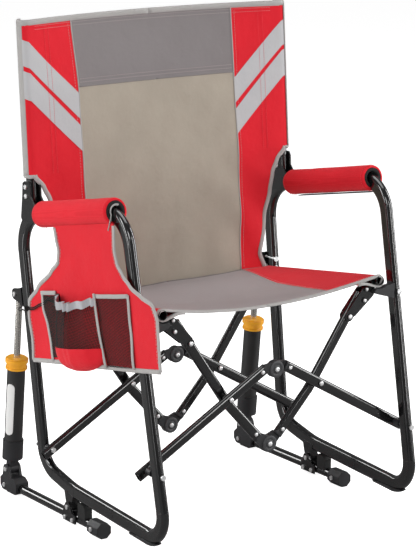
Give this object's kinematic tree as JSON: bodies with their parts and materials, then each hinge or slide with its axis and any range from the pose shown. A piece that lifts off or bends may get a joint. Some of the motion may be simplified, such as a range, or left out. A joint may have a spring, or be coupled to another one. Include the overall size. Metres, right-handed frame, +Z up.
{
  "type": "camp rocking chair",
  "caption": "Folding steel-tube camp chair that rocks on short foot bars with a spring strut behind each side, fabric seat and back, padded arms and a side pocket.",
  "frame": {"origin": "on the floor, midway between the frames left and right sides and between its front and rear ends", "axes": "+X to the sitter's left, -Y is the front, +Z up"},
  "size_m": [0.6212, 0.5656, 0.926],
  "materials": {
    "frame_tube": "gloss black enamel",
    "link_tube": "gloss black enamel",
    "moulding": "fine textured nylon",
    "bracket": "satin black stamping",
    "rubber": "matte",
    "rivet": "bright zinc",
    "foam_pad": "red polyester over black foam",
    "strut_black": "satin black",
    "strut_cap": "textured",
    "collar": "yellow orange",
    "spring": "spring steel",
    "rod": "ground and plated",
    "red_fabric": "600 denier polyester",
    "back_fabric": "taupe mesh with red sides",
    "seat_fabric": "grey polyester with red sides",
    "pouch_mesh": "black mesh",
    "lock_plastic": "black"
  },
  "bodies": {
    "foot_l": {"foot_bar_l": "frame_tube", "foot_cap_l": "moulding", "rock_bracket_l": "bracket", "rear_bracket_l": "moulding", "stop_bumper_l": "rubber", "foot_rivets_l": "rivet"},
    "side_l": {"side_frame_l": "frame_tube", "rock_saddle_l": "bracket", "side_mouldings_l": "moulding", "arm_pad_l": "foam_pad", "back_post_l": "frame_tube", "arm_bracket_l": "bracket", "strut_bracket_l": "bracket", "side_rivets_l": "rivet", "back_sling": "back_fabric", "side_pocket": "red_fabric", "cup_pouch": "pouch_mesh", "cord_lock": "lock_plastic"},
    "strut_body_l": {"strut_clevis_l": "strut_cap", "strut_cylinder_l": "strut_black", "strut_collar_l": "collar", "strut_spring_l": "spring"},
    "strut_rod_l": {"strut_rod_l": "rod"},
    "front_link_l": {"front_lower_link_l": "link_tube", "front_hub_l": "moulding"},
    "rear_link_l": {"rear_lower_link_l": "link_tube", "rear_hub_l": "moulding"},
    "seat_frame_l": {"upper_links_l": "link_tube", "lower_hubs_l": "moulding", "seat_rail_l": "frame_tube", "rail_brackets_l": "bracket", "seat_sling": "seat_fabric"},
    "foot_r": {"foot_bar_r": "frame_tube", "foot_cap_r": "moulding", "rock_bracket_r": "bracket", "rear_bracket_r": "moulding", "stop_bumper_r": "rubber", "foot_rivets_r": "rivet"},
    "side_r": {"side_frame_r": "frame_tube", "rock_saddle_r": "bracket", "side_mouldings_r": "moulding", "arm_pad_r": "foam_pad", "back_post_r": "frame_tube", "arm_bracket_r": "bracket", "strut_bracket_r": "bracket", "side_rivets_r": "rivet"},
    "strut_body_r": {"strut_clevis_r": "strut_cap", "strut_cylinder_r": "strut_black", "strut_collar_r": "collar", "strut_spring_r": "spring"},
    "strut_rod_r": {"strut_rod_r": "rod"},
    "front_link_r": {"front_lower_link_r": "link_tube", "front_hub_r": "moulding"},
    "rear_link_r": {"rear_lower_link_r": "link_tube", "rear_hub_r": "moulding"},
    "seat_frame_r": {"upper_links_r": "link_tube", "lower_hubs_r": "moulding", "seat_rail_r": "frame_tube", "rail_brackets_r": "bracket"},
    "cord_button": {"cord_lock_button": "lock_plastic"}
  },
  "joints": [
    {"name": "rock", "type": "hinge", "parent": "foot_l", "child": "side_l", "pos_m": [-0.277, 0.03682, 0.033], "axis": [-1, 0, 0], "range_deg": [0, 14], "stiffness_Nm_per_rad": 30, "springref_deg": -20.05},
    {"name": "fold", "type": "hinge", "parent": "side_l", "child": "front_link_l", "pos_m": [-0.279, -0.21718, 0.17], "axis": [0, -1, 0], "range_deg": [0, 36], "deforming": ["back_sling", "seat_sling"]},
    {"name": "front_hub", "type": "hinge", "parent": "front_link_l", "child": "front_link_r", "pos_m": [0, -0.21718, 0.314], "axis": [0, -1, 0], "range_deg": [-72, 0]},
    {"name": "side_r_fold", "type": "hinge", "parent": "front_link_r", "child": "side_r", "pos_m": [0.279, -0.21718, 0.17], "axis": [0, -1, 0], "range_deg": [0, 36]},
    {"name": "rock_r", "type": "hinge", "parent": "side_r", "child": "foot_r", "pos_m": [0.277, 0.03682, 0.033], "axis": [-1, 0, 0], "range_deg": [-14, 0]},
    {"name": "seat_l_fold", "type": "hinge", "parent": "front_link_l", "child": "seat_frame_l", "pos_m": [-0.101, -0.21718, 0.272], "axis": [0, -1, 0], "range_deg": [-57.07, 0]},
    {"name": "seat_r_fold", "type": "hinge", "parent": "front_link_r", "child": "seat_frame_r", "pos_m": [0.101, -0.21718, 0.272], "axis": [0, -1, 0], "range_deg": [0, 57.07]},
    {"name": "rear_link_l_fold", "type": "hinge", "parent": "side_l", "child": "rear_link_l", "pos_m": [-0.279, 0.10782, 0.125], "axis": [0, -1, 0], "range_deg": [0, 36]},
    {"name": "rear_link_r_fold", "type": "hinge", "parent": "side_r", "child": "rear_link_r", "pos_m": [0.279, 0.10782, 0.125], "axis": [0, -1, 0], "range_deg": [-36, 0]},
    {"name": "strut_swing_l", "type": "hinge", "parent": "foot_l", "child": "strut_body_l", "pos_m": [-0.277, 0.26082, 0.048], "axis": [-1, 0, 0], "range_deg": [0, 14.64]},
    {"name": "strut_slide_l", "type": "slide", "parent": "strut_body_l", "child": "strut_rod_l", "axis": [0, -0.1064, 0.9943], "range_m": [-0.05461, 0], "deforming": ["strut_spring_l"]},
    {"name": "strut_swing_r", "type": "hinge", "parent": "foot_r", "child": "strut_body_r", "pos_m": [0.277, 0.26082, 0.048], "axis": [-1, 0, 0], "range_deg": [0, 14.64]},
    {"name": "strut_slide_r", "type": "slide", "parent": "strut_body_r", "child": "strut_rod_r", "axis": [0, -0.1064, 0.9943], "range_m": [-0.05461, 0], "deforming": ["strut_spring_r"]},
    {"name": "cord_lock_press", "type": "slide", "parent": "side_l", "child": "cord_button", "axis": [0, 0, -1], "range_m": [0, 0.004], "stiffness_N_per_m": 400, "springref_m": -0.002}
  ],
  "couplings": [
    {"joint": "front_hub", "follows": "fold", "ratio": -2},
    {"joint": "side_r_fold", "follows": "fold", "ratio": 1},
    {"joint": "seat_l_fold", "follows": "fold", "ratio": -1.585},
    {"joint": "seat_r_fold", "follows": "fold", "ratio": 1.585},
    {"joint": "rear_link_l_fold", "follows": "fold", "ratio": 1},
    {"joint": "rear_link_r_fold", "follows": "fold", "ratio": -1},
    {"joint": "rock_r", "follows": "rock", "ratio": -1},
    {"joint": "strut_swing_l", "follows": "rock", "ratio": 1.045},
    {"joint": "strut_slide_l", "follows": "rock", "m_per_rad": -0.2231},
    {"joint": "strut_swing_r", "follows": "rock", "ratio": 1.045},
    {"joint": "strut_slide_r", "follows": "rock", "m_per_rad": -0.2231}
  ]
}
